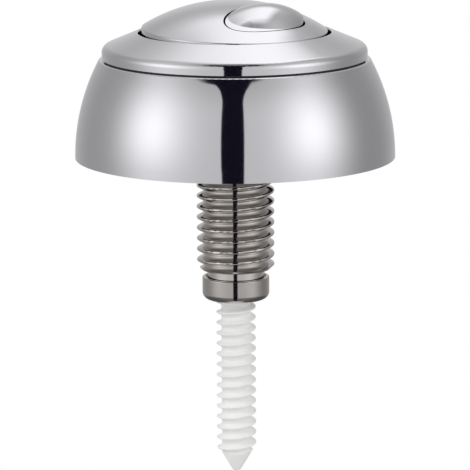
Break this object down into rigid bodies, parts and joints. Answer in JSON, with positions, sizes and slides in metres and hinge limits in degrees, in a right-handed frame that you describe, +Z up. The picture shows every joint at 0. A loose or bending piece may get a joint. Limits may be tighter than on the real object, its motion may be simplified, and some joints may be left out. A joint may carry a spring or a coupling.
{
  "type": "push button cistern actuator",
  "caption": "Chrome domed push button for a cistern lid, with an oval part flush button set in the round full flush one, a threaded hollow stem and a threaded push rod below.",
  "frame": {"origin": "on the stem's axis, in the plane of the hood's lower rim, which rests on the lid", "axes": "+Z up along the stem to the dome, -Y towards the side with the oval part flush button, X along the oval's long way"},
  "size_m": [0.074, 0.074, 0.1113],
  "materials": {
    "chrome_plate": "bright chrome plating on moulded plastic",
    "nickel_plate": "bright nickel plating on turned brass",
    "black_plastic": "moulded, fine matt",
    "white_acetal": "moulded, satin",
    "white_nylon": "moulded, slightly translucent, satin",
    "spring_steel": "drawn stainless wire, zinc plated screws"
  },
  "bodies": {
    "base": {"hood": "chrome_plate", "bezel_ring": "chrome_plate", "carrier": "black_plastic", "carrier_screws": "spring_steel", "threaded_stem": "nickel_plate", "stem_circlip": "spring_steel", "guide_collar": "nickel_plate", "full_return_spring": "spring_steel", "plunger_spring": "spring_steel"},
    "full_button": {"full_flush_button": "chrome_plate", "button_bridge": "white_acetal", "bridge_screws": "spring_steel"},
    "part_button": {"part_flush_button": "chrome_plate", "part_pusher": "white_acetal"},
    "flush_plunger": {"plunger": "white_acetal", "push_rod": "white_nylon"}
  },
  "joints": [
    {"name": "full_press", "type": "slide", "parent": "base", "child": "full_button", "axis": [0, 0, -1], "range_m": [0, 0.006], "stiffness_N_per_m": 600, "springref_m": -0.004, "deforming": ["full_return_spring", "plunger_spring"]},
    {"name": "part_press", "type": "slide", "parent": "full_button", "child": "part_button", "axis": [0, 0, -1], "range_m": [0, 0.003], "stiffness_N_per_m": 500, "springref_m": -0.003},
    {"name": "plunger_push", "type": "slide", "parent": "full_button", "child": "flush_plunger", "axis": [0, 0, -1], "range_m": [0, 0.003]}
  ],
  "couplings": [
    {"joint": "plunger_push", "follows": "part_press", "ratio": 1}
  ]
}
